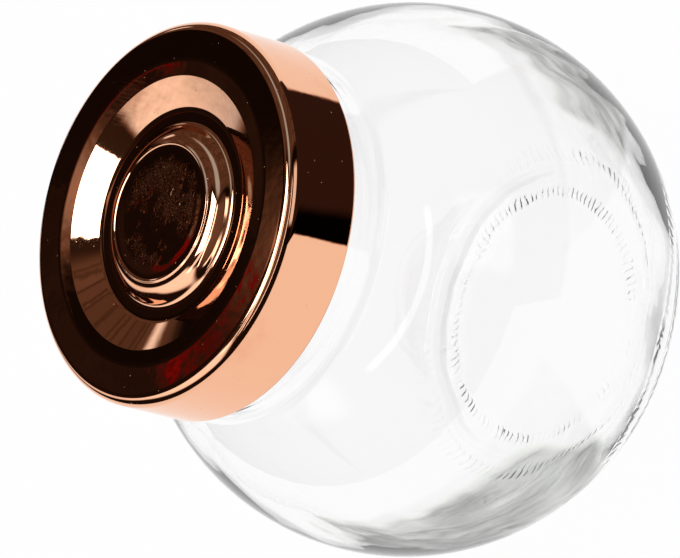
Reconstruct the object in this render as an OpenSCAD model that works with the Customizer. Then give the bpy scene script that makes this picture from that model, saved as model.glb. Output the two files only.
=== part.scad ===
// Globe-shaped glass storage jar with a polished push-on lid.
// The glass stands on a flat foot opposite its mouth. The lid is a shell of pressed metal over a moulded
// plug, and a finned soft ring on the plug grips the bore of the mouth.
// Z points up through the mouth. The origin lies on the table, under the middle of the foot.

/* [Globe] */
// Outside diameter of the globe at its widest
globe_d = 100; // [92:1:116]
// Height that the flat foot cuts off the globe
foot_cut = 13.2; // [10:0.2:16]
// Distance from the axis to the centre of the wall's arc, which flattens both ends a little
arc_offset = 4; // [0:0.5:6]
// Thickness of the glass at the widest point
glass_t = 3.4; // [2.4:0.1:4.4]
// Height of the hollow's widest point above the globe's, which leaves more glass below
hollow_lift = 0.8; // [0:0.1:1.4]

/* [Foot] */
// Outside radius of the heel between the wall and the foot
heel_r = 6; // [5:0.5:12]
// Radius between the wall and the floor, inside
floor_r = 5; // [3:0.5:9]
// Thickness of the glass in the middle of the foot
floor_t = 3.4; // [2.4:0.1:5]
// Width of the ring that the jar stands on
foot_w = 1; // [0.8:0.1:2]
// Width of the slope from the standing ring up into the recess
recess_w = 0.9; // [0.6:0.1:2]
// Rise of the recess inside the standing ring
recess_h = 0.35; // [0.2:0.05:0.6]

/* [Mouth] */
// Outside diameter of the neck
neck_d = 65; // [62:0.5:68]
// Thickness of the glass round the mouth
neck_t = 4; // [3:0.1:5]
// Height of the neck, from where its line leaves the globe's to the lip
neck_h = 20.9; // [19:0.1:26]
// Width of the flat on the lip, between its two rounded edges
lip_flat_w = 0.8; // [0.4:0.1:2]
// Radius of the hollow curve between shoulder and neck
shoulder_r = 4; // [2:0.5:6]
// Radius of the curve from the inside wall into the mouth
throat_r = 5; // [3:0.5:7]

/* [Lid shell] */
// Thickness of the pressed metal
shell_t = 0.6; // [0.3:0.05:0.8]
// Height of the skirt, from its lower edge to the flat rim
skirt_h = 15.1; // [12:0.1:17]
// Outside radius of the corner between skirt and rim
corner_r = 2.2; // [1:0.1:3]
// Height of the metal folded back inside the skirt's lower edge
hem_h = 1.6; // [1.2:0.1:2.2]
// Clearance between the dish's upper edge and the bore of the plug below it
dish_gap = 1.2; // [0.8:0.1:3]
// Depth of the dish below the rim
dish_h = 2.7; // [1.5:0.1:4]
// Width of the dish's level bottom, from its sloped wall to the knob
valley_w = 2.2; // [1.6:0.1:4]
// Radius of the dish's upper edge
dish_edge_r = 0.5; // [0.2:0.1:1]
// Radius of the bend at the foot of the dish's sloped wall
slope_bend_r = 2.4; // [1:0.1:3]

/* [Knob] */
// Diameter of the knob across its top edge
knob_d = 25; // [20:0.5:27]
// Width of the knob's sloped flank, from its top edge to its foot
knob_flank_w = 4.2; // [2:0.1:5]
// Height of the knob's top above the rim
knob_rise = 0.2; // [0:0.1:0.8]
// Radius of the knob's top edge
knob_edge_r = 1; // [0.3:0.1:1.6]
// Radius of the bend between the knob and the bottom of the dish
knob_bend_r = 2.8; // [1:0.1:3]

/* [Plug] */
// Thickness of the flange between the glass lip and the shell's rim
flange_t = 1.3; // [1:0.1:2]
// Thickness of the sleeve inside the shell's skirt
sleeve_t = 1; // [0.8:0.1:1.4]
// Clearance between the neck and the sleeve
neck_gap = 0.4; // [0.3:0.05:0.8]
// Depth that the plug reaches below the glass lip
plug_h = 9.8; // [8.6:0.1:14]
// Thickness of the plug's wall
plug_wall_t = 1.6; // [1.2:0.1:2]
// Thickness of the plug's closed lower end
plug_end_t = 1.3; // [1:0.1:2]
// Radius round the plug's lower edge
plug_edge_r = 0.8; // [0.3:0.1:1.1]

/* [Seal ring] */
// Clearance between the fins and the bore of the mouth
fin_gap = 0.2; // [0.15:0.05:0.4]
// Length that the fins stand out from the plug
fin_l = 0.7; // [0.4:0.05:1]
// Number of fins
fins = 3; // [1:1:4]
// Distance from one fin to the next
fin_pitch = 1.9; // [1.4:0.1:2.6]
// Thickness of a fin at its root
fin_root_t = 1.1; // [0.8:0.1:1.5]
// Thickness of a fin at its tip
fin_tip_t = 0.4; // [0.3:0.1:0.7]
// Depth of the groove that holds the ring
groove_h = 0.7; // [0.4:0.1:0.9]
// Height of the ring's plain band above and below its fins
ring_margin = 0.2; // [0.1:0.1:0.6]
// Clearance between the ring and the sides of its groove
ring_gap = 0.1; // [0.05:0.05:0.2]

/* [Hidden] */
$fn = 180;

// Turn of one straight piece of an arc
wall_step = 3;
edge_step = 9;

// Walls of the glass: two arcs, each with its centre off the axis
outer_arc_r = globe_d / 2 - arc_offset;
inner_arc_r = outer_arc_r - glass_t;
neck_r = neck_d / 2;
bore_r = neck_r - neck_t;
lip_r = (neck_t - lip_flat_w) / 2;

// Heights of the glass: widest points outside and inside, floor and lip
globe_z = globe_d / 2 - foot_cut;
hollow_z = globe_z + hollow_lift;
floor_z = recess_h + floor_t;
lip_z = globe_z + sqrt(outer_arc_r ^ 2 - (neck_r - arc_offset) ^ 2) + neck_h;

// Heights of the closed lid
lid_z = lip_z + flange_t + shell_t;
skirt_z = lid_z - skirt_h;
plug_z = lip_z - plug_h;

// Radii from the neck outwards and from the bore inwards
sleeve_in_r = neck_r + neck_gap;
sleeve_r = sleeve_in_r + sleeve_t;
lid_r = sleeve_r + shell_t;
fin_r = bore_r - fin_gap;
plug_r = fin_r - fin_l;
groove_r = plug_r - groove_h;
plug_in_r = plug_r - plug_wall_t;

// Radii of the lid's top, from its flat rim in to the knob
dish_r = plug_in_r - dish_gap;
knob_r = knob_d / 2;
knob_foot_r = knob_r + knob_flank_w;
slope_r = knob_foot_r + valley_w;

// The ring with its stack of fins, halfway down the plug
ring_h = (fins - 1) * fin_pitch + fin_root_t + 2 * ring_margin;
ring_z = plug_z + (plug_h - ring_h) / 2;

function unit(v) = v / norm(v);

// Points of an arc about centre c, from angle a0 to angle a1
function arc(c, r, a0, a1, step) =
    let (n = max(2, ceil(abs(a1 - a0) / step)))
    [for (i = [0:n]) let (a = a0 + (a1 - a0) * i / n) c + r * [cos(a), sin(a)]];

// The corner b between a and c, rounded with radius r
function rounded_corner(a, b, c, r) =
    r <= 0 ? [b] :
    let (
        u = unit(a - b),
        w = unit(c - b),
        half = acos(u * w) / 2,
        centre = b + unit(u + w) * r / sin(half),
        p = b + u * r / tan(half) - centre,
        q = b + w * r / tan(half) - centre,
        a0 = atan2(p.y, p.x),
        turn = (atan2(q.y, q.x) - a0 + 540) % 360 - 180
    )
    arc(centre, r, a0, a0 + turn, edge_step);

// A closed outline from corners given as [radius from the axis, height, corner radius]
function outline(corners) =
    let (n = len(corners))
    [for (i = [0:n - 1])
        let (a = corners[(i + n - 1) % n], b = corners[i], c = corners[(i + 1) % n])
        each rounded_corner([a.x, a.y], [b.x, b.y], [c.x, c.y], b.z)];

// Angle below the widest point at which a wall of radius r, centred at height z, turns into a corner
// of radius corner above the level floor
function heel_angle(r, z, corner, floor) = asin((z - floor - corner) / (r - corner));

// Angle above the widest point at which a wall of radius r meets an upright of radius x through a curve
// of radius corner, which lies outside the wall
function shoulder_angle(r, x, corner) = acos((x + corner - arc_offset) / (r + corner));

// An outline without the points that repeat where one arc ends and the next begins
function distinct(points) =
    let (n = len(points))
    [for (i = [0:n - 1]) if (norm(points[i] - points[(i + 1) % n]) > 0.001) points[i]];

module revolve(points) {
    rotate_extrude() polygon(distinct(points));
}

// The glass: outside from the foot up to the lip, then inside down to the floor
module glass_jar() {
    outer_c = [arc_offset, globe_z];
    heel_a = heel_angle(outer_arc_r, globe_z, heel_r, 0);
    heel_c = outer_c + (outer_arc_r - heel_r) * [cos(heel_a), -sin(heel_a)];
    neck_a = shoulder_angle(outer_arc_r, neck_r, shoulder_r);
    neck_c = outer_c + (outer_arc_r + shoulder_r) * [cos(neck_a), sin(neck_a)];

    inner_c = [arc_offset, hollow_z];
    floor_a = heel_angle(inner_arc_r, hollow_z, floor_r, floor_z);
    floor_c = inner_c + (inner_arc_r - floor_r) * [cos(floor_a), -sin(floor_a)];
    throat_a = shoulder_angle(inner_arc_r, bore_r, throat_r);
    throat_c = inner_c + (inner_arc_r + throat_r) * [cos(throat_a), sin(throat_a)];

    foot_in_r = heel_c.x - foot_w;

    color([0.86, 0.91, 0.89, 0.4])
        revolve([
            [0, recess_h],
            [foot_in_r - recess_w, recess_h],
            [foot_in_r, 0],
            each arc(heel_c, heel_r, -90, -heel_a, wall_step),
            each arc(outer_c, outer_arc_r, -heel_a, neck_a, wall_step),
            each arc(neck_c, shoulder_r, 180 + neck_a, 180, edge_step),
            each arc([neck_r - lip_r, lip_z - lip_r], lip_r, 0, 90, edge_step),
            each arc([bore_r + lip_r, lip_z - lip_r], lip_r, 90, 180, edge_step),
            each arc(throat_c, throat_r, 180, 180 + throat_a, edge_step),
            each arc(inner_c, inner_arc_r, throat_a, -floor_a, wall_step),
            each arc(floor_c, floor_r, -floor_a, -90, edge_step),
            [0, floor_z]
        ]);
}

// The pressed shell: its polished side from the knob out to the hem, then its inner side back
module lid_shell() {
    valley_z = lid_z - dish_h;
    knob_z = lid_z + knob_rise;
    // The folded edge is all but a half round, with a hair of flat in the middle
    fold_r = 0.98 * shell_t;
    // How far a bend's corner moves sideways from the polished side of the metal to the inner side
    flank_shift = shell_t * tan(atan((knob_z - valley_z) / knob_flank_w) / 2);
    slope_shift = shell_t * tan(atan(dish_h / (dish_r - slope_r)) / 2);

    color([0.85, 0.5, 0.36])
        revolve(outline([
            [0, knob_z, 0],
            [knob_r, knob_z, knob_edge_r],
            [knob_foot_r, valley_z, knob_bend_r],
            [slope_r, valley_z, slope_bend_r],
            [dish_r, lid_z, dish_edge_r],
            [lid_r, lid_z, corner_r],
            [lid_r, skirt_z, fold_r],
            [lid_r - 2 * shell_t, skirt_z, fold_r],
            [lid_r - 2 * shell_t, skirt_z + hem_h, 0],
            [sleeve_r, skirt_z + hem_h, 0],
            [sleeve_r, lid_z - shell_t, corner_r - shell_t],
            [dish_r + slope_shift, lid_z - shell_t, 0],
            [slope_r + slope_shift, valley_z - shell_t, slope_bend_r + shell_t],
            [knob_foot_r - flank_shift, valley_z - shell_t, knob_bend_r + shell_t],
            [knob_r - flank_shift, knob_z - shell_t, max(0, knob_edge_r - shell_t)],
            [0, knob_z - shell_t, 0]
        ]));
}

// The moulded cap inside the shell: a cup that plugs the mouth, a flange that rests on the lip, and a
// sleeve down to the shell's folded edge
module lid_plug() {
    flange_z = lid_z - shell_t;
    sleeve_z = skirt_z + hem_h;
    groove_z = ring_z - ring_gap;
    groove_top_z = ring_z + ring_h + ring_gap;

    color([0.93, 0.92, 0.89])
        revolve(outline([
            [0, plug_z, 0],
            [plug_r, plug_z, plug_edge_r],
            [plug_r, groove_z, 0],
            [groove_r, groove_z, 0],
            [groove_r, groove_top_z, 0],
            [plug_r, groove_top_z, 0],
            [plug_r, lip_z, 0],
            [sleeve_in_r, lip_z, 0],
            [sleeve_in_r, sleeve_z, 0],
            [sleeve_r, sleeve_z, 0],
            [sleeve_r, flange_z, corner_r],
            [plug_in_r, flange_z, 0],
            [plug_in_r, plug_z + plug_end_t, 0],
            [0, plug_z + plug_end_t, 0]
        ]));
}

// The soft ring: a band in the plug's groove with a row of tapered fins
module seal_ring() {
    band_r = plug_r - ring_gap;
    color([0.9, 0.9, 0.88, 0.8])
        revolve([
            [groove_r, ring_z],
            [band_r, ring_z],
            for (i = [0:fins - 1])
                let (z = ring_z + ring_margin + fin_root_t / 2 + i * fin_pitch)
                each [
                    [band_r, z - fin_root_t / 2],
                    [fin_r, z - fin_tip_t / 2],
                    [fin_r, z + fin_tip_t / 2],
                    [band_r, z + fin_root_t / 2]
                ],
            [band_r, ring_z + ring_h],
            [groove_r, ring_z + ring_h]
        ]);
}

glass_jar();
lid_shell();
lid_plug();
seal_ring();
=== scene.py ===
import math

import bmesh
import bpy
from mathutils import Matrix, Vector


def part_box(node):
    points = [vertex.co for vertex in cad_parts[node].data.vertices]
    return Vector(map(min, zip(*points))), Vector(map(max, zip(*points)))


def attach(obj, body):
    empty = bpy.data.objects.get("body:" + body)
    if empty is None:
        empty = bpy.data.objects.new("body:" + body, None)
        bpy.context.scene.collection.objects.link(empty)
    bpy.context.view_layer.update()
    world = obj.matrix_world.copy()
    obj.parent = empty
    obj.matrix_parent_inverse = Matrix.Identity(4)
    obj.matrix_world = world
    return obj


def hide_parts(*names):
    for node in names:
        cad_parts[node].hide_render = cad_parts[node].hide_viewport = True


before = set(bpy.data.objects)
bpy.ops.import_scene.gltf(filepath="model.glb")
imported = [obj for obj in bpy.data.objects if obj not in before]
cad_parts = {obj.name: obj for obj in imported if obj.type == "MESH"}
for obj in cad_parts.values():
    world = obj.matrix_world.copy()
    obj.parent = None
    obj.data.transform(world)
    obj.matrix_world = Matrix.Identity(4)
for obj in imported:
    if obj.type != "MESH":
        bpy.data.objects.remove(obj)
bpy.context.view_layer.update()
bpy.context.scene.view_settings.view_transform = "Standard"

# The camera stands about 1.3 m off and looks down on the lid from 40 degrees. It is rolled so far that
# the jar seems to lie on its side, with its lid to the left.
globe_centre = Vector((0, 0, 0.0368))
camera_distance = 1.3
camera_elevation = math.radians(40.19)
camera_roll = math.radians(74.83)
camera_turn = math.radians(0.543)
camera_tilt = math.radians(0.003)

camera_data = bpy.data.cameras.new("camera")
camera_data.sensor_width = 36
camera_data.lens = 382.5
camera = bpy.data.objects.new("camera", camera_data)
bpy.context.collection.objects.link(camera)
bpy.context.scene.camera = camera

towards_camera = Vector((0, -math.cos(camera_elevation), math.sin(camera_elevation)))
ahead = -towards_camera
right = ahead.cross(Vector((0, 0, 1))).normalized()
up = right.cross(ahead)
roll = Matrix.Rotation(camera_roll, 3, ahead)
right, up = roll @ right, roll @ up
turn = Matrix.Rotation(camera_turn, 3, up)
ahead, right = turn @ ahead, turn @ right
tilt = Matrix.Rotation(camera_tilt, 3, right)
ahead, up = tilt @ ahead, tilt @ up
camera_axes = Matrix((right, up, -ahead)).transposed().to_4x4()
camera.matrix_world = Matrix.Translation(globe_centre + towards_camera * camera_distance) @ camera_axes


# The glass is pressed and blown in one piece, thick and a little uneven inside. It stands on a narrow flat
# ring round a shallow recess. Short bars are pressed in a ring in the recess and in another up the heel.
def arc(centre, radius, start, end, spacing):
    steps = max(2, math.ceil(radius * math.radians(abs(end - start)) / spacing))
    angles = [math.radians(start + (end - start) * i / steps) for i in range(steps + 1)]
    return [(centre[0] + radius * math.cos(a), centre[1] + radius * math.sin(a)) for a in angles]


def line(start, end, spacing):
    length = math.dist(start, end)
    steps = max(1, math.ceil(length / spacing))
    return [tuple(start[k] + (end[k] - start[k]) * i / steps for k in (0, 1)) for i in range(steps + 1)]


def revolved(name, outline, segments):
    """A mesh object turned from a closed outline of (radius, height) points, in order, outside first."""
    points = [p for i, p in enumerate(outline) if math.dist(p, outline[i - 1]) > 1e-7]
    mesh = bpy.data.meshes.new(name)
    shape = bmesh.new()
    rings = []
    for radius, height in points:
        if radius < 1e-7:
            rings.append([shape.verts.new((0, 0, height))] * segments)
            continue
        turns = [2 * math.pi * i / segments for i in range(segments)]
        rings.append([shape.verts.new((radius * math.cos(t), radius * math.sin(t), height)) for t in turns])
    closed = points[0][0] > 1e-7
    for i in range(len(rings) - (0 if closed else 1)):
        inner, outer = rings[i], rings[(i + 1) % len(rings)]
        for j in range(segments):
            k = (j + 1) % segments
            corners = [inner[j], inner[k], outer[k], outer[j]]
            distinct = [c for n, c in enumerate(corners) if c is not corners[n - 1]]
            shape.faces.new(distinct)
    bmesh.ops.recalc_face_normals(shape, faces=shape.faces)
    for face in shape.faces:
        face.smooth = True
    shape.to_mesh(mesh)
    shape.free()
    piece = bpy.data.objects.new(name, mesh)
    bpy.context.collection.objects.link(piece)
    return piece


jar_low, jar_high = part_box("glass_jar")
globe_r = min(-jar_low[0], -jar_low[1], jar_high[0], jar_high[1])
lip_z = jar_high[2]
globe_z = globe_centre.z
arc_offset = 0.004
glass_t = 0.0034
hollow_lift = 0.0008
heel_r = 0.006
floor_r = 0.005
floor_z = 0.00375
foot_w = 0.001
recess_w = 0.0024
recess_h = 0.00035
neck_r = 0.0325
neck_t = 0.004
lip_flat_w = 0.0008
shoulder_r = 0.004
throat_r = 0.005

outer_arc_r = globe_r - arc_offset
inner_arc_r = outer_arc_r - glass_t
hollow_z = globe_z + hollow_lift
bore_r = neck_r - neck_t
lip_r = (neck_t - lip_flat_w) / 2

heel_a = math.degrees(math.asin((globe_z - heel_r) / (outer_arc_r - heel_r)))
heel_c = (
    arc_offset + (outer_arc_r - heel_r) * math.cos(math.radians(heel_a)),
    heel_r,
)
neck_a = math.degrees(math.acos((neck_r + shoulder_r - arc_offset) / (outer_arc_r + shoulder_r)))
neck_c = (
    neck_r + shoulder_r,
    globe_z + (outer_arc_r + shoulder_r) * math.sin(math.radians(neck_a)),
)
floor_a = math.degrees(math.asin((hollow_z - floor_z - floor_r) / (inner_arc_r - floor_r)))
floor_c = (
    arc_offset + (inner_arc_r - floor_r) * math.cos(math.radians(floor_a)),
    floor_z + floor_r,
)
throat_a = math.degrees(math.acos((bore_r + throat_r - arc_offset) / (inner_arc_r + throat_r)))
throat_c = (
    bore_r + throat_r,
    hollow_z + (inner_arc_r + throat_r) * math.sin(math.radians(throat_a)),
)
foot_in_r = heel_c[0] - foot_w
foot_out_r = heel_c[0]

bars = 104
bar_h = 0.0002
bar_share = 0.4
recess_bars_in_r = 0.0226
recess_bars_out_r = 0.0256
heel_bars_in_r = 0.0308
heel_bars_out_r = 0.0352
groove_soft = 0.0004
bars_top = 0.0035

# The length of the mesh's faces along the outline, shorter where there are bars or bends
wall_step = 0.0032
plain_step = 0.003
recess_step = 0.004
recess_bar_step = 0.00036
recess_edge_step = 0.0006
foot_step = 0.0004
heel_step = 0.0003
shoulder_step = 0.0004
lip_step = 0.0006
throat_step = 0.0005
round_steps = 560
bars_from_r = 0.0218
bars_up_a = 5

jar_outside = (
    line((0, recess_h), (bars_from_r, recess_h), recess_step)
    + line((bars_from_r, recess_h), (foot_in_r - recess_w, recess_h), recess_bar_step)
    + line((foot_in_r - recess_w, recess_h), (foot_in_r, 0), recess_edge_step)
    + line((foot_in_r, 0), (foot_out_r, 0), foot_step)
    + arc(heel_c, heel_r, -90, -heel_a, heel_step)
    + arc((arc_offset, globe_z), outer_arc_r, -heel_a, bars_up_a - heel_a, foot_step)
    + arc((arc_offset, globe_z), outer_arc_r, bars_up_a - heel_a, neck_a, wall_step)
    + arc(neck_c, shoulder_r, 180 + neck_a, 180, shoulder_step)
    + line((neck_r, neck_c[1]), (neck_r, lip_z - lip_r), plain_step)
    + arc((neck_r - lip_r, lip_z - lip_r), lip_r, 0, 90, lip_step)
)
jar_inside = (
    arc((bore_r + lip_r, lip_z - lip_r), lip_r, 90, 180, lip_step)
    + line((bore_r, lip_z - lip_r), (bore_r, throat_c[1]), plain_step)
    + arc(throat_c, throat_r, 180, 180 + throat_a, throat_step)
    + arc((arc_offset, hollow_z), inner_arc_r, throat_a, -floor_a, wall_step)
    + arc(floor_c, floor_r, -floor_a, -90, throat_step)
    + line((floor_c[0], floor_z), (0, floor_z), plain_step)
)
glass = revolved("glass", jar_outside + jar_inside, round_steps)

# The wall inside is blown free of any mould, so it is marked for the waves below. The waves die out
# towards the throat.
calm_h = 0.012
inside = glass.data.attributes.new("inside", "FLOAT", "POINT")
for vertex, mark in zip(glass.data.vertices, inside.data):
    radius = math.hypot(vertex.co.x, vertex.co.y)
    off_axis = math.hypot(radius - arc_offset, vertex.co.z - globe_z)
    is_wall = off_axis < outer_arc_r - 0.4 * glass_t and vertex.co.z > 0.6 * floor_z
    below_mouth = min(1, max(0, (throat_c[1] - vertex.co.z) / calm_h))
    mark.value = below_mouth if is_wall else 0


def new_tree(name, kind, inputs, outputs):
    """A node group with the given input and output sockets, each a name, a type and a value or None."""
    tree = bpy.data.node_groups.new(name, kind)
    for direction, sockets in (("INPUT", inputs), ("OUTPUT", outputs)):
        for label, socket_type, value in sockets:
            socket = tree.interface.new_socket(name=label, in_out=direction, socket_type=socket_type)
            if value is not None:
                socket.default_value = value
    return tree


def feed(tree, node, place, value):
    """Links a socket to a node's input, or sets that input to a constant."""
    if isinstance(value, bpy.types.NodeSocket):
        tree.links.new(value, node.inputs[place])
    else:
        node.inputs[place].default_value = value


def add(tree, kind, settings=None, **values):
    """Adds a node. Settings are its properties; each value is a constant or a socket to link from."""
    node = tree.nodes.new(kind)
    for key, value in (settings or {}).items():
        setattr(node, key, value)
    for key, value in values.items():
        place = int(key[1:]) if key[0] == "i" and key[1:].isdigit() else key.replace("_", " ")
        feed(tree, node, place, value)
    return node


def math_node(tree, operation, *values):
    """The result of one math operation on constants or sockets."""
    node = add(tree, "ShaderNodeMath", {"operation": operation})
    for place, value in enumerate(values):
        feed(tree, node, place, value)
    return node.outputs[0]


def fade(tree, value, low, high, out_low=0.0, out_high=1.0, shape="SMOOTHSTEP"):
    """A ramp of a value, from out_low at low to out_high at high, smooth or LINEAR, held past its ends."""
    node = add(tree, "ShaderNodeMapRange", {"interpolation_type": shape})
    for place, number in enumerate((value, low, high, out_low, out_high)):
        feed(tree, node, place, number)
    return node.outputs[0]


def band(tree, value, low, high, soft):
    """1 where a value lies from low to high, and 0 outside, with soft edges."""
    rising = fade(tree, value, low - soft, low + soft)
    falling = fade(tree, value, high - soft, high + soft, 1, 0)
    return math_node(tree, "MULTIPLY", rising, falling)


def many(tree, operation, *values):
    """One math operation over several values."""
    total = values[0]
    for value in values[1:]:
        total = math_node(tree, operation, total, value)
    return total


def bake_tree(piece, tree, **inputs):
    """Runs a geometry node tree on a piece and keeps the result as its plain mesh."""
    modifier = piece.modifiers.new(tree.name, "NODES")
    modifier.node_group = tree
    for item in tree.interface.items_tree:
        label = item.name.replace(" ", "_")
        if item.in_out == "INPUT" and label in inputs:
            modifier[item.identifier] = inputs[label]
    piece.update_tag()
    bpy.context.view_layer.update()
    ready = piece.evaluated_get(bpy.context.evaluated_depsgraph_get())
    mesh = bpy.data.meshes.new_from_object(ready)
    piece.modifiers.remove(modifier)
    piece.data = mesh
    return piece


def from_middle(tree, where):
    """The distance of a place from the jar's upright middle line."""
    parts = add(tree, "ShaderNodeSeparateXYZ", Vector=where).outputs
    flat = add(tree, "ShaderNodeCombineXYZ", X=parts["X"], Y=parts["Y"]).outputs[0]
    return add(tree, "ShaderNodeVectorMath", {"operation": "LENGTH"}, i0=flat).outputs["Value"]


def foot_bars(tree, where, count, ring_inside, ring_outside):
    """The height of short, bent raised bars that stand in a ring under the foot, from 0 to 1."""
    parts = add(tree, "ShaderNodeSeparateXYZ", Vector=where).outputs
    reach = from_middle(tree, where)
    along = fade(tree, reach, ring_inside, ring_outside, -1, 1, "LINEAR")
    bent = math_node(tree, "MULTIPLY", math_node(tree, "MULTIPLY", along, along), 0.28)
    angle = math_node(tree, "DIVIDE", math_node(tree, "ARCTAN2", parts["Y"], parts["X"]), 2 * math.pi)
    turns = math_node(tree, "MULTIPLY", angle, count)
    beside = math_node(tree, "SUBTRACT", math_node(tree, "FRACT", math_node(tree, "ADD", turns, bent)), 0.5)
    off_bar = math_node(tree, "DIVIDE", math_node(tree, "ABSOLUTE", beside), bar_share)
    off_bar = math_node(tree, "POWER", off_bar, 2.0)
    off_end = math_node(tree, "POWER", math_node(tree, "ABSOLUTE", along), 4.0)
    raised = fade(tree, math_node(tree, "ADD", off_bar, off_end), 0.2, 1.0, 1, 0)
    under = math_node(tree, "LESS_THAN", parts["Z"], bars_top)
    return math_node(tree, "MULTIPLY", raised, under)


glass_waves = new_tree(
    "glass waves",
    "GeometryNodeTree",
    [
        ("Geometry", "NodeSocketGeometry", None),
        ("Wave height", "NodeSocketFloat", 0.0003),
        ("Wave width", "NodeSocketFloat", 0.022),
        ("Wave length", "NodeSocketFloat", 0.028),
        ("Bars", "NodeSocketFloat", bars),
        ("Bar height", "NodeSocketFloat", bar_h),
        ("Bar unevenness", "NodeSocketFloat", 0.0018),
        ("Material", "NodeSocketMaterial", None),
    ],
    [("Geometry", "NodeSocketGeometry", None)],
)
given = glass_waves.nodes.new("NodeGroupInput").outputs
place = add(glass_waves, "GeometryNodeInputPosition").outputs[0]
parts = add(glass_waves, "ShaderNodeSeparateXYZ", Vector=place).outputs
stretched = add(
    glass_waves,
    "ShaderNodeCombineXYZ",
    X=math_node(glass_waves, "DIVIDE", parts["X"], given["Wave width"]),
    Y=math_node(glass_waves, "DIVIDE", parts["Y"], given["Wave width"]),
    Z=math_node(glass_waves, "DIVIDE", parts["Z"], given["Wave length"]),
).outputs[0]
noise = add(glass_waves, "ShaderNodeTexNoise", Vector=stretched, Scale=1.0, Detail=2.0, Roughness=0.45)
waves = math_node(glass_waves, "SUBTRACT", noise.outputs["Fac"], 0.5)
low_down = fade(glass_waves, parts["Z"], 0.004, 0.03, 1.6, 1)
marked = add(glass_waves, "GeometryNodeInputNamedAttribute", {"data_type": "FLOAT"}, Name="inside")
for factor in (given["Wave height"], 2.0, low_down, marked.outputs[0]):
    waves = math_node(glass_waves, "MULTIPLY", waves, factor)

# The bars stand out of the recess by their height. Those on the heel are left between shallow grooves,
# so that nothing passes the globe's own surface.
worn = add(glass_waves, "ShaderNodeTexNoise", Vector=place, Scale=420.0, Detail=3.0).outputs["Color"]
vector_math = "ShaderNodeVectorMath"
nudge = add(glass_waves, vector_math, {"operation": "SUBTRACT"}, i0=worn, i1=(0.5, 0.5, 0.5)).outputs[0]
unevenness = given["Bar unevenness"]
nudge = add(glass_waves, vector_math, {"operation": "SCALE"}, i0=nudge, Scale=unevenness).outputs[0]
nudged = add(glass_waves, vector_math, {"operation": "ADD"}, i0=place, i1=nudge).outputs[0]
recess_bars = foot_bars(glass_waves, nudged, given["Bars"], recess_bars_in_r, recess_bars_out_r)
heel_bars = foot_bars(glass_waves, nudged, given["Bars"], heel_bars_in_r, heel_bars_out_r)
grooves_in_r = heel_bars_in_r + groove_soft
grooves_out_r = heel_bars_out_r - groove_soft
grooves = many(
    glass_waves,
    "MULTIPLY",
    band(glass_waves, from_middle(glass_waves, place), grooves_in_r, grooves_out_r, groove_soft),
    math_node(glass_waves, "LESS_THAN", parts["Z"], bars_top),
    math_node(glass_waves, "SUBTRACT", 1.0, heel_bars),
)
wear = add(glass_waves, "ShaderNodeTexNoise", Vector=place, Scale=120.0, Detail=2.0).outputs["Fac"]
worn_down = fade(glass_waves, wear, 0.3, 0.65, 0.25, 1)
pressing = math_node(glass_waves, "SUBTRACT", recess_bars, grooves)
pressing = many(glass_waves, "MULTIPLY", pressing, worn_down, given["Bar height"])
waves = math_node(glass_waves, "ADD", waves, pressing)
normal = add(glass_waves, "GeometryNodeInputNormal").outputs[0]
sway = add(glass_waves, vector_math, {"operation": "SCALE"}, i0=normal, Scale=waves).outputs[0]
moved = add(glass_waves, "GeometryNodeSetPosition", Geometry=given["Geometry"], Offset=sway)
real = add(glass_waves, "GeometryNodeRealizeInstances", Geometry=moved.outputs[0])
coated = add(glass_waves, "GeometryNodeSetMaterial", Geometry=real.outputs[0], Material=given["Material"])
result = glass_waves.nodes.new("NodeGroupOutput")
glass_waves.links.new(coated.outputs[0], result.inputs["Geometry"])


def new_material(name):
    """An empty material with its output, ready for nodes."""
    material = bpy.data.materials.new(name)
    material.use_nodes = True
    material.node_tree.nodes.clear()
    return material, material.node_tree


def surface(tree, shader):
    """Makes a shader the look of its material."""
    output = tree.nodes.new("ShaderNodeOutputMaterial")
    tree.links.new(shader.outputs[0], output.inputs["Surface"])


clear_glass, tree = new_material("clear glass")
where = add(tree, "ShaderNodeTexCoord").outputs["Object"]
drawn = add(tree, "ShaderNodeMapping", Vector=where, Scale=(110, 110, 90))
grain = add(tree, "ShaderNodeTexNoise", Vector=drawn.outputs[0], Scale=1.0, Detail=2.0)
soft = add(tree, "ShaderNodeBump", Height=grain.outputs["Fac"], Strength=0.35, Distance=0.0001)
shader = add(
    tree,
    "ShaderNodeBsdfPrincipled",
    Base_Color=(0.992, 0.988, 0.99, 1),
    Roughness=0.0,
    IOR=1.52,
    Transmission_Weight=1.0,
    Normal=soft.outputs[0],
)
surface(tree, shader)

bake_tree(glass, glass_waves, Material=clear_glass)
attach(glass, "jar")
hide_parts("glass_jar")


# The lid's outside is one sheet of metal, pressed to a skirt, a flat rim, a dish and a knob. Its lower
# edge is folded back inside, and the whole is plated in copper and polished like a mirror.
def rounded(corners, spacing):
    """A closed outline from corners given as (radius, height, corner radius)."""
    outline = []
    count = len(corners)
    for i, (x, y, r) in enumerate(corners):
        before, after = corners[i - 1], corners[(i + 1) % count]
        corner = Vector((x, y))
        to_before = (Vector(before[:2]) - corner).normalized()
        to_after = (Vector(after[:2]) - corner).normalized()
        if r <= 0:
            bend = [(x, y)]
        else:
            half = to_before.angle(to_after) / 2
            centre = corner + (to_before + to_after).normalized() * r / math.sin(half)
            first = corner + to_before * r / math.tan(half) - centre
            last = corner + to_after * r / math.tan(half) - centre
            start = math.degrees(math.atan2(first.y, first.x))
            turn = (math.degrees(math.atan2(last.y, last.x)) - start + 540) % 360 - 180
            bend = arc(centre, r, start, start + turn, min(spacing, r / 12))
        if outline:
            outline += stretch(outline[-1], bend[0], 4 * spacing)
        outline += bend
    if corners[0][0] > 1e-7:
        outline += stretch(outline[-1], outline[0], 4 * spacing)
    return outline


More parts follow.
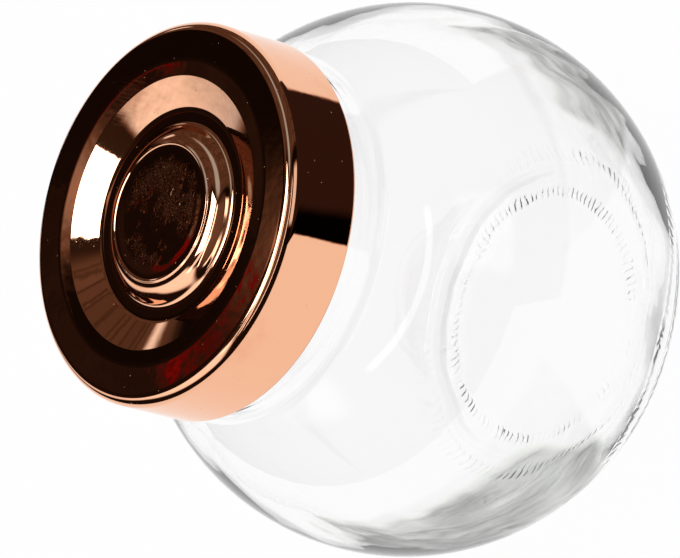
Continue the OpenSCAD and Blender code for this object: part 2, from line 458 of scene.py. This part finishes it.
def stretch(start, end, spacing, guard=0.00004):
    """The points between two ends, the first and last close to them so that flat metal mirrors as flat."""
    length = math.dist(start, end)
    if length < 3 * guard:
        return []
    share = guard / length
    near, far = (tuple(start[k] + (end[k] - start[k]) * t for k in (0, 1)) for t in (share, 1 - share))
    return line(near, far, spacing)


lid_low, lid_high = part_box("lid_shell")
lid_r = lid_high[0]
knob_z = lid_high[2]
skirt_z = lid_low[2]
knob_rise = 0.0002
lid_z = knob_z - knob_rise
shell_t = 0.0006
corner_r = 0.0022
hem_h = 0.0016
rim_fall = 0.00016
lead_w = 0.0028
lead_h = 0.00016
lead_r = 0.014
dish_r = 0.0246
dish_h = 0.0027
dish_edge_r = 0.0005
slope_bend_r = 0.0024
slope_r = 0.0189
knob_foot_r = 0.0163
knob_bend_r = 0.0015
knob_r = 0.0125
bead_w = 0.0005
bead_h = 0.00016
bead_r = 0.00025
bead_foot_r = 0.00035
bead_in = 0.00015
bead_out = 0.00025
bead_drop = 0.00025
bead_side_r = 0.0002
shoulder_at = 0.0145
shoulder_h = 0.00078
shoulder_bend_r = 0.0053
under_foot_r = 0.0165
under_foot_bend_r = 0.002
under_knob_in = 0.0002
under_knob_bend_r = 0.0004
sheet_step = 0.0004
sheet_round_steps = 320
crease_a = math.radians(35)
fold_r = 0.98 * shell_t
sleeve_r = lid_r - shell_t
valley_z = lid_z - dish_h
slope_shift = shell_t * math.tan(math.atan(dish_h / (dish_r - slope_r)) / 2)

lid_corners = [
    (0, knob_z - bead_h, 0),
    (knob_r - bead_w, knob_z - bead_h, bead_foot_r),
    (knob_r - bead_in, knob_z, bead_r),
    (knob_r + bead_out, knob_z - bead_drop, bead_side_r),
    (shoulder_at, knob_z - shoulder_h, shoulder_bend_r),
    (knob_foot_r, valley_z, knob_bend_r),
    (slope_r, valley_z, slope_bend_r),
    (dish_r, lid_z - lead_h, dish_edge_r),
    (dish_r + lead_w, lid_z, lead_r),
    (lid_r, lid_z - rim_fall, corner_r),
    (lid_r, skirt_z, fold_r),
    (lid_r - 2 * shell_t, skirt_z, fold_r),
    (lid_r - 2 * shell_t, skirt_z + hem_h, 0),
    (sleeve_r, skirt_z + hem_h, 0),
    (sleeve_r, lid_z - shell_t, corner_r - shell_t),
    (dish_r + slope_shift, lid_z - shell_t, 0),
    (slope_r + slope_shift, valley_z - shell_t, slope_bend_r + shell_t),
    (under_foot_r, valley_z - shell_t, under_foot_bend_r),
    (knob_r - under_knob_in, knob_z - shell_t, under_knob_bend_r),
    (0, knob_z - shell_t, 0),
]
lid = revolved("copper_lid", rounded(lid_corners, sheet_step), sheet_round_steps)
lid.data.set_sharp_from_angle(angle=crease_a)

copper, tree = new_material("polished copper")
where = add(tree, "ShaderNodeTexCoord").outputs["Object"]
parts = add(tree, "ShaderNodeSeparateXYZ", Vector=where).outputs
reach = from_middle(tree, where)
on_top = fade(tree, parts["Z"], lid_z - 0.0012, lid_z - 0.0002)

# Crazing in the lacquer on the knob: thin wrinkles, strongest in its middle
wrinkles = add(
    tree, "ShaderNodeTexNoise", Vector=where, Scale=430.0, Detail=2.0, Roughness=0.5, Distortion=1.8
)
ridge = math_node(tree, "ABSOLUTE", math_node(tree, "SUBTRACT", wrinkles.outputs["Fac"], 0.5))
patch = add(tree, "ShaderNodeTexNoise", Vector=where, Scale=130.0, Detail=2.0).outputs["Fac"]
on_knob = fade(tree, reach, 0.008, 0.0112, 1, 0)
crazed = many(tree, "MULTIPLY", fade(tree, ridge, 0.01, 0.07), fade(tree, patch, 0.40, 0.55), on_knob, on_top)

# Wiping marks: a thin greasy film with streaks, on the rim and in the dish
film = add(tree, "ShaderNodeTexNoise", Vector=where, Scale=75.0, Detail=5.0, Roughness=0.65).outputs["Fac"]
streak_at = add(tree, "ShaderNodeMapping", Vector=where, Rotation=(0, 0, 0.7), Scale=(2600, 160, 160))
streaks = add(tree, "ShaderNodeTexNoise", Vector=streak_at.outputs[0], Scale=1.0, Detail=3.0).outputs["Fac"]
filmed = math_node(tree, "MULTIPLY", fade(tree, film, 0.46, 0.72), fade(tree, streaks, 0.3, 0.75, 0.35, 1))
filmed = math_node(tree, "MULTIPLY", filmed, fade(tree, reach, 0.0115, 0.014))

# Dust specks in the lacquer
specks = add(tree, "ShaderNodeTexVoronoi", Vector=where, Scale=900.0)
speck = fade(tree, specks.outputs["Distance"], 0.07, 0.13, 1, 0)
picked = add(tree, "ShaderNodeSeparateColor", Color=specks.outputs["Color"]).outputs[0]
chosen = math_node(tree, "GREATER_THAN", picked, 0.93)
speck = math_node(tree, "MULTIPLY", speck, chosen)

marks = many(
    tree,
    "MAXIMUM",
    math_node(tree, "MULTIPLY", crazed, 0.16),
    math_node(tree, "MULTIPLY", filmed, 0.16),
    math_node(tree, "MULTIPLY", speck, 0.5),
)
roughness = math_node(tree, "MAXIMUM", marks, 0.025)
peel = add(tree, "ShaderNodeTexNoise", Vector=where, Scale=500.0, Detail=1.0, Roughness=0.4)
swell = add(tree, "ShaderNodeTexNoise", Vector=where, Scale=80.0, Detail=1.0)
height = math_node(tree, "MULTIPLY_ADD", swell.outputs["Fac"], 6.0, peel.outputs["Fac"])
uneven = add(tree, "ShaderNodeTexNoise", Vector=where, Scale=190.0, Detail=2.0).outputs["Fac"]
uneven = many(tree, "MULTIPLY", uneven, fade(tree, reach, 0.0095, 0.0115, 12, 0), on_top)
height = math_node(tree, "ADD", height, uneven)
bump = add(tree, "ShaderNodeBump", Height=height, Strength=0.06, Distance=0.0001)
flaws = math_node(tree, "SUBTRACT", crazed, speck)
dented = add(tree, "ShaderNodeBump", Height=flaws, Strength=0.4, Distance=0.00005, Normal=bump.outputs[0])
tint = add(
    tree,
    "ShaderNodeMix",
    {"data_type": "RGBA"},
    i0=fade(tree, film, 0.5, 0.8),
    A=(0.92, 0.485, 0.298, 1),
    B=(0.86, 0.40, 0.23, 1),
)
shader = add(
    tree,
    "ShaderNodeBsdfPrincipled",
    Base_Color=tint.outputs[2],
    Metallic=1.0,
    Roughness=roughness,
    Normal=dented.outputs[0],
)
surface(tree, shader)
lid.data.materials.append(copper)
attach(lid, "lid")
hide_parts("lid_shell")


# The plug is one white moulding. Its flange lies on the glass lip, its sleeve fills the skirt, and its cup
# goes into the mouth. The face that looks into the jar is dished a little, with a gate mark in its middle.
plug_low, plug_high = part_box("lid_plug")
plug_z = plug_low[2]
flange_z = plug_high[2]
plug_r = 0.0276
groove_r = 0.0269
groove_z = 0.086157
groove_top = 0.091657
sleeve_in_r = 0.0329
plug_in_r = 0.026
plug_end_t = 0.0013
face_depth = 0.0003
gate_depth = 0.0007
gate_r = 0.0012
gate_slope_w = 0.0004
face_r = plug_r - 0.004
face_bend_r = 0.001
face_rim_r = plug_r - 0.003
face_rim_bend_r = 0.0006
plug_edge_r = 0.0008
flange_edge_r = 0.0003
soft_edge = 0.00015
moulding_step = 0.0008
moulding_round_steps = 192

plug_corners = [
    (0, plug_z + gate_depth, 0),
    (gate_r, plug_z + gate_depth, soft_edge),
    (gate_r + gate_slope_w, plug_z + face_depth, soft_edge),
    (face_r, plug_z + face_depth, face_bend_r),
    (face_rim_r, plug_z, face_rim_bend_r),
    (plug_r, plug_z, plug_edge_r),
    (plug_r, groove_z, soft_edge),
    (groove_r, groove_z, soft_edge),
    (groove_r, groove_top, soft_edge),
    (plug_r, groove_top, soft_edge),
    (plug_r, lip_z, flange_edge_r),
    (sleeve_in_r, lip_z, flange_edge_r),
    (sleeve_in_r, skirt_z + hem_h, flange_edge_r),
    (sleeve_r, skirt_z + hem_h, flange_edge_r),
    (sleeve_r, flange_z, corner_r),
    (plug_in_r, flange_z, soft_edge),
    (plug_in_r, plug_z + plug_end_t, soft_edge),
    (0, plug_z + plug_end_t, 0),
]
plug = revolved("plug", rounded(plug_corners, moulding_step), moulding_round_steps)
plug.data.set_sharp_from_angle(angle=crease_a)

white_plastic, tree = new_material("white moulded plastic")
where = add(tree, "ShaderNodeTexCoord").outputs["Object"]
grain = add(tree, "ShaderNodeTexNoise", Vector=where, Scale=1400.0, Detail=2.0).outputs["Fac"]
clouds = add(tree, "ShaderNodeTexNoise", Vector=where, Scale=90.0, Detail=3.0).outputs["Fac"]
turning = math_node(tree, "SINE", math_node(tree, "MULTIPLY", from_middle(tree, where), 21000.0))
relief = math_node(tree, "MULTIPLY_ADD", turning, 0.12, grain)
bump = add(tree, "ShaderNodeBump", Height=relief, Strength=0.3, Distance=0.00003)
shade = add(
    tree,
    "ShaderNodeMix",
    {"data_type": "RGBA"},
    i0=fade(tree, clouds, 0.3, 0.7),
    A=(0.84, 0.83, 0.80, 1),
    B=(0.78, 0.77, 0.74, 1),
)
shader = add(
    tree,
    "ShaderNodeBsdfPrincipled",
    Base_Color=shade.outputs[2],
    Roughness=fade(tree, clouds, 0.3, 0.7, 0.28, 0.42),
    Subsurface_Weight=0.15,
    Subsurface_Scale=0.002,
    Normal=bump.outputs[0],
)
surface(tree, shader)
plug.data.materials.append(white_plastic)
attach(plug, "lid")
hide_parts("lid_plug")


# The seal is a ring of clear silicone in the plug's groove. Its soft fins press against the glass.
seal_low, seal_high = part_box("seal_ring")
seal_z = seal_low[2]
seal_top = seal_high[2]
fin_r = seal_high[0]
band_r = plug_r - 0.0001
fins = 3
fin_pitch = 0.0019
fin_root_t = 0.0011
fin_tip_t = 0.0004
ring_margin = 0.0002
fin_root_r = 0.0001
fin_edge_r = 0.00015

seal_corners = [(groove_r, seal_z, soft_edge), (band_r, seal_z, 0)]
for i in range(fins):
    fin_z = seal_z + ring_margin + fin_root_t / 2 + i * fin_pitch
    seal_corners += [
        (band_r, fin_z - fin_root_t / 2, fin_root_r),
        (fin_r, fin_z - fin_tip_t / 2, fin_edge_r),
        (fin_r, fin_z + fin_tip_t / 2, fin_edge_r),
        (band_r, fin_z + fin_root_t / 2, fin_root_r),
    ]
seal_corners += [(band_r, seal_top, 0), (groove_r, seal_top, soft_edge)]
seal = revolved("seal", rounded(seal_corners, sheet_step), moulding_round_steps)
seal.data.set_sharp_from_angle(angle=crease_a)

silicone, tree = new_material("clear silicone")
where = add(tree, "ShaderNodeTexCoord").outputs["Object"]
skin = add(tree, "ShaderNodeTexNoise", Vector=where, Scale=900.0, Detail=2.0).outputs["Fac"]
bloom = add(tree, "ShaderNodeTexNoise", Vector=where, Scale=140.0, Detail=3.0).outputs["Fac"]
bump = add(tree, "ShaderNodeBump", Height=skin, Strength=0.2, Distance=0.00004)
shader = add(
    tree,
    "ShaderNodeBsdfPrincipled",
    Base_Color=(0.86, 0.88, 0.87, 1),
    Roughness=fade(tree, bloom, 0.3, 0.7, 0.32, 0.5),
    IOR=1.41,
    Transmission_Weight=0.55,
    Normal=bump.outputs[0],
)
surface(tree, shader)
seal.data.materials.append(silicone)
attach(seal, "lid")
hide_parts("seal_ring")


# The table is a plain white board. The camera sees it white with a faint soft shadow of the jar. The metal
# and the glass also see the dark room past its edges, painted here as dark patches on it that the camera
# doesn't see.
table_size = 3.0
table_mesh = bpy.data.meshes.new("table")
edge = table_size / 2
under = -0.00005
table_corners = [(x, y, under) for x, y in ((-edge, -edge), (edge, -edge), (edge, edge), (-edge, edge))]
table_mesh.from_pydata(table_corners, [], [(0, 1, 2, 3)])
table = bpy.data.objects.new("table", table_mesh)
bpy.context.collection.objects.link(table)
white_sheet, tree = new_material("white sheet")
path = add(tree, "ShaderNodeLightPath").outputs
where = add(tree, "ShaderNodeTexCoord").outputs["Object"]
parts = add(tree, "ShaderNodeSeparateXYZ", Vector=where).outputs
ragged = add(tree, "ShaderNodeTexNoise", Vector=where, Scale=70.0, Detail=2.0).outputs["Fac"]
ragged = math_node(tree, "MULTIPLY_ADD", ragged, 0.016, -0.008)
room = math_node(
    tree,
    "MULTIPLY",
    fade(tree, parts["X"], 0.017, 0.020),
    fade(tree, math_node(tree, "ADD", parts["Y"], ragged), -0.004, 0.004, 1, 0),
)
behind_middle = band(tree, parts["X"], -0.03, 0.03, 0.008)
behind = math_node(tree, "MULTIPLY", fade(tree, parts["Y"], 0.06, 0.09), behind_middle)
off_metal = math_node(tree, "SUBTRACT", path["Is Glossy Ray"], path["Is Transmission Ray"])
from_lid = fade(tree, path["Ray Length"], 0.1, 0.12)
in_metal = many(
    tree,
    "MULTIPLY",
    math_node(tree, "MAXIMUM", off_metal, 0.0),
    math_node(tree, "MAXIMUM", room, behind),
    from_lid,
)

# Two streaky painted dark areas, greenish grey, one on either side of the jar, that only rays through the
# glass see; the thick glass bends them into its edge
sideways = math_node(tree, "ABSOLUTE", parts["X"])
across = math_node(tree, "MULTIPLY_ADD", sideways, 0.71, math_node(tree, "MULTIPLY", parts["Y"], -0.7))
along = math_node(tree, "MULTIPLY_ADD", sideways, 0.7, math_node(tree, "MULTIPLY", parts["Y"], 0.71))
right_side = fade(tree, parts["X"], -0.01, 0.01)
widening = fade(tree, along, 0.04, 0.1, 0.023, 0.032, "LINEAR")
start_across = math_node(tree, "MULTIPLY_ADD", right_side, 0.004, widening)
start_aside = math_node(tree, "MULTIPLY_ADD", right_side, 0.019, 0.025)
end_back = math_node(tree, "MULTIPLY_ADD", right_side, -0.008, 0.072)
streaks_at = add(
    tree,
    "ShaderNodeCombineXYZ",
    X=math_node(tree, "MULTIPLY", across, 330.0),
    Y=math_node(tree, "MULTIPLY", along, 50.0),
    Z=right_side,
).outputs[0]
fine_streaks = add(tree, "ShaderNodeTexNoise", Vector=streaks_at, Scale=1.0, Detail=4.0, Roughness=0.6)
clouds = add(tree, "ShaderNodeTexNoise", Vector=where, Scale=45.0, Detail=2.0)
clouds = math_node(tree, "MULTIPLY", clouds.outputs["Fac"], 0.45)
streaky = math_node(tree, "MULTIPLY_ADD", fine_streaks.outputs["Fac"], 0.55, clouds)
from_jar = add(tree, "ShaderNodeVectorMath", {"operation": "LENGTH"}, i0=where).outputs["Value"]
in_glass = many(
    tree,
    "MULTIPLY",
    path["Is Transmission Ray"],
    fade(tree, from_jar, 0.118, 0.134, 1, 0),
    fade(tree, math_node(tree, "SUBTRACT", across, start_across), -0.002, 0.003),
    fade(tree, math_node(tree, "SUBTRACT", sideways, start_aside), -0.002, 0.002),
    fade(tree, math_node(tree, "SUBTRACT", parts["Y"], end_back), -0.01, 0.01, 1, 0),
    fade(tree, streaky, 0.38, 0.62, 0.34, 0.76),
)
room_level = fade(tree, parts["X"], 0.045, 0.062, 0.999, 0.972)
darkness = math_node(tree, "MAXIMUM", math_node(tree, "MULTIPLY", in_metal, room_level), in_glass)
room_colour = add(
    tree,
    "ShaderNodeMix",
    {"data_type": "RGBA"},
    i0=in_metal,
    A=(0.975, 1, 0.955, 1),
    B=(1, 0.49, 0.38, 1),
).outputs[2]
seen = many(tree, "MAXIMUM", path["Is Camera Ray"], path["Is Glossy Ray"], path["Is Transmission Ray"])
matt = add(tree, "ShaderNodeBsdfDiffuse", Color=(0.85, 0.85, 0.85, 1))
board_colour = add(
    tree,
    "ShaderNodeMix",
    {"data_type": "RGBA"},
    i0=math_node(tree, "GREATER_THAN", darkness, 0.02),
    A=(1, 1, 1, 1),
    B=room_colour,
).outputs[2]
brightness = math_node(tree, "SUBTRACT", 1.0, darkness)
glow = add(tree, "ShaderNodeEmission", Color=board_colour, Strength=brightness)
glow_share = math_node(tree, "MAXIMUM", math_node(tree, "MULTIPLY", seen, 0.98), in_metal)
mixed = add(tree, "ShaderNodeMixShader", i0=glow_share, i1=matt.outputs[0], i2=glow.outputs[0])
surface(tree, mixed)
table.data.materials.append(white_sheet)


# The studio is white where the camera and the glass look. The lid mirrors the rest of it: a white wall on one
# side, a dark back, a brown side with a window, and two strip lights in front. These are painted reflections:
# only reflections see them, and they light nothing.
world = bpy.data.worlds.new("white studio")
bpy.context.scene.world = world
world.use_nodes = True
world.node_tree.nodes.clear()
tree = world.node_tree
path = add(tree, "ShaderNodeLightPath").outputs
where = add(tree, "ShaderNodeTexCoord").outputs["Generated"]
parts = add(tree, "ShaderNodeSeparateXYZ", Vector=where).outputs
from_back = math_node(tree, "DEGREES", math_node(tree, "ARCTAN2", parts["X"], parts["Y"]))
back_y = math_node(tree, "MULTIPLY", parts["Y"], -1.0)
from_front = math_node(tree, "DEGREES", math_node(tree, "ARCTAN2", parts["X"], back_y))
high = math_node(tree, "DEGREES", math_node(tree, "ARCSINE", parts["Z"]))
height = math_node(tree, "MAXIMUM", parts["Z"], 0.02)
overhead_x = math_node(tree, "DIVIDE", parts["X"], height)
overhead_y = math_node(tree, "DIVIDE", parts["Y"], height)

wall_top = fade(tree, from_back, -100, -80, 55, 61)
wall_low = fade(tree, from_back, -50, -20, 27, 4)
white_wall = many(
    tree,
    "MULTIPLY",
    fade(tree, math_node(tree, "SUBTRACT", high, wall_low), -4, 4),
    fade(tree, from_back, -112, -98),
    fade(tree, math_node(tree, "MULTIPLY_ADD", high, 0.75, from_back), -12, -8, 1, 0),
    fade(tree, math_node(tree, "SUBTRACT", high, wall_top), -3, 3, 1, 0),
)
brown_side = math_node(tree, "MULTIPLY", band(tree, from_back, 16, 125, 3), band(tree, high, -10, 66, 4))
panes_at = add(tree, "ShaderNodeCombineXYZ", X=from_back, Y=high).outputs[0]
panes = add(
    tree,
    "ShaderNodeTexBrick",
    {"offset": 0.0},
    Vector=panes_at,
    Color1=(0.075, 0.075, 0.075, 1),
    Color2=(0.125, 0.125, 0.125, 1),
    Mortar=(0.055, 0.055, 0.055, 1),
    Scale=0.036,
    Mortar_Size=0.035,
    Mortar_Smooth=1.0,
    Brick_Width=0.25,
    Row_Height=0.25,
).outputs["Color"]
pane_level = add(tree, "ShaderNodeSeparateColor", Color=panes).outputs[0]
pale_edge = math_node(tree, "MULTIPLY_ADD", from_back, -0.79, high)
pale_low = math_node(tree, "MULTIPLY_ADD", from_back, -0.42, high)
pale_side = many(
    tree,
    "MULTIPLY",
    fade(tree, pale_low, 4, 10),
    fade(tree, pale_edge, -11, -4, 1, 0),
    band(tree, from_back, 42, 118, 6),
    band(tree, high, 12, 66, 5),
)
front_glow = math_node(tree, "MULTIPLY", band(tree, from_front, -60, 45, 12), band(tree, high, 42, 78, 6))
window = math_node(tree, "MULTIPLY", band(tree, from_front, 12, 44, 3), band(tree, high, 2, 28, 2))
far_patch = math_node(tree, "MULTIPLY", band(tree, from_back, 20.5, 27, 1.5), band(tree, high, 11, 17, 1.5))
low_strip = math_node(tree, "MULTIPLY", band(tree, from_front, -55, 40, 4), band(tree, high, 38.5, 41.5, 0.5))
high_strip = many(
    tree,
    "MULTIPLY",
    band(tree, overhead_y, -0.31, -0.25, 0.008),
    band(tree, overhead_x, -0.75, 0.3, 0.04),
    math_node(tree, "GREATER_THAN", parts["Z"], 0.1),
)
# A painted orange glow behind the jar, seen only in reflections, beside the white patch in the lid's dish
warm_glow = many(
    tree,
    "MULTIPLY",
    fade(tree, high, 40, 46),
    band(tree, from_back, -1.5, 1.5, 1.5),
    fade(tree, high, 60, 70, 1, 0),
)

# The rim is nearly flat, so it enlarges one small part of the room behind the jar: a painted dull red
# reflection on one side, and painted brown beside that and beyond
room_x = math_node(tree, "MULTIPLY", from_back, 0.766)
room_y = math_node(tree, "SUBTRACT", high, 38.2)
room_turn = math_node(tree, "DEGREES", math_node(tree, "ARCTAN2", room_x, room_y))
room_x_squared = math_node(tree, "MULTIPLY", room_x, room_x)
room_out = math_node(tree, "SQRT", math_node(tree, "MULTIPLY_ADD", room_y, room_y, room_x_squared))
close_by = fade(tree, room_out, 6, 9, 1, 0)
mottled = add(tree, "ShaderNodeTexNoise", Vector=where, Scale=90.0, Detail=5.0, Roughness=0.75).outputs["Fac"]
red_room = many(
    tree,
    "MULTIPLY",
    band(tree, room_turn, -64, -10, 11),
    fade(tree, room_out, 1.6, 2.6),
    fade(tree, room_out, 2.9, 3.6, 1, 0),
    fade(tree, mottled, 0.38, 0.6, 0.2, 1),
)
brown_room = many(
    tree,
    "MULTIPLY",
    fade(tree, room_turn, -70, -82),
    fade(tree, room_out, 1.0, 2.0),
    close_by,
    fade(tree, mottled, 0.35, 0.65, 0.25, 1),
)
slanted = math_node(tree, "MULTIPLY_ADD", overhead_x, 0.613, math_node(tree, "MULTIPLY", overhead_y, 0.79))
slant_back = math_node(tree, "MULTIPLY", overhead_y, -0.613)
slanted_end = math_node(tree, "MULTIPLY_ADD", overhead_x, 0.79, slant_back)
side_card = many(
    tree,
    "MULTIPLY",
    band(tree, slanted, -0.40, -0.26, 0.015),
    band(tree, slanted_end, -0.62, 0.1, 0.05),
    math_node(tree, "GREATER_THAN", parts["Z"], 0.1),
)
brownish = many(
    tree,
    "ADD",
    math_node(tree, "MULTIPLY", brown_side, pane_level),
    math_node(tree, "MULTIPLY", warm_glow, 0.45),
    math_node(tree, "MULTIPLY", brown_room, 0.010),
    math_node(tree, "MULTIPLY", red_room, 0.17),
    math_node(tree, "MULTIPLY", front_glow, 0.13),
    math_node(tree, "MULTIPLY", pale_side, 0.55),
)
bright = many(
    tree,
    "ADD",
    math_node(tree, "MULTIPLY", white_wall, fade(tree, high, 20, 42, 1.0, 1.22)),
    math_node(tree, "MULTIPLY", window, 0.9),
    math_node(tree, "MULTIPLY", side_card, 1.3),
    math_node(tree, "MULTIPLY", far_patch, 0.9),
    math_node(tree, "MULTIPLY", low_strip, 2.0),
    math_node(tree, "MULTIPLY", high_strip, 3.0),
)
base = math_node(tree, "ADD", fade(tree, high, 50, 70, 0.0, 0.02), fade(tree, from_back, -4, 4, 0.012, 0.006))
level = many(tree, "ADD", base, brownish, bright)
off_metal = math_node(tree, "SUBTRACT", path["Is Glossy Ray"], path["Is Transmission Ray"])
in_lid = math_node(tree, "MULTIPLY", math_node(tree, "MAXIMUM", off_metal, 0.0), level)
clear_view = math_node(tree, "MAXIMUM", path["Is Camera Ray"], path["Is Transmission Ray"])
not_metal = math_node(tree, "MAXIMUM", clear_view, path["Is Diffuse Ray"])
for_light = math_node(tree, "MULTIPLY", path["Is Diffuse Ray"], 0.5)
strength = many(tree, "ADD", clear_view, in_lid, for_light)
only_metal = math_node(tree, "SUBTRACT", 1.0, not_metal)
# The painted reflections take colour: dim parts of the room orange, the red room red, the pale side pale blue
lit = math_node(tree, "MAXIMUM", math_node(tree, "MULTIPLY", in_lid, 2.0), not_metal)
warmth = fade(tree, lit, 0.1, 1.0, 1, 0)
orange = math_node(tree, "MULTIPLY", warm_glow, only_metal)
warmth = math_node(tree, "MAXIMUM", warmth, orange)
warm = add(
    tree,
    "ShaderNodeMix",
    {"data_type": "RGBA"},
    i0=warmth,
    A=(1, 1, 1, 1),
    B=(1, 0.55, 0.36, 1),
).outputs[2]
red = add(
    tree,
    "ShaderNodeMix",
    {"data_type": "RGBA"},
    i0=many(tree, "MULTIPLY", red_room, 3.0, only_metal),
    A=warm,
    B=(1, 0.03, 0.03, 1),
).outputs[2]
cool = add(
    tree,
    "ShaderNodeMix",
    {"data_type": "RGBA"},
    i0=math_node(tree, "MULTIPLY", pale_side, only_metal),
    A=red,
    B=(0.6, 0.85, 1.0, 1),
).outputs[2]
sky = add(tree, "ShaderNodeBackground", Color=cool, Strength=strength)
output = tree.nodes.new("ShaderNodeOutputWorld")
tree.links.new(sky.outputs[0], output.inputs["Surface"])


# A wide soft box hangs over the jar. It draws the white patch in the lid's dish and the bright lines
# along the bends.
lid_place = Vector((0, 0, knob_z))
lamp_height = 0.8
lamp_radiance = 5.0
soft_box = bpy.data.lights.new("soft box", "AREA")
soft_box.shape = "RECTANGLE"
soft_box.size = 0.65 * lamp_height
soft_box.size_y = 0.34 * lamp_height
soft_box.energy = lamp_radiance * math.pi * soft_box.size * soft_box.size_y
lamp = bpy.data.objects.new("soft box", soft_box)
bpy.context.collection.objects.link(lamp)
lamp.matrix_world = Matrix.Translation(lid_place + Vector((0, 0, lamp_height)))
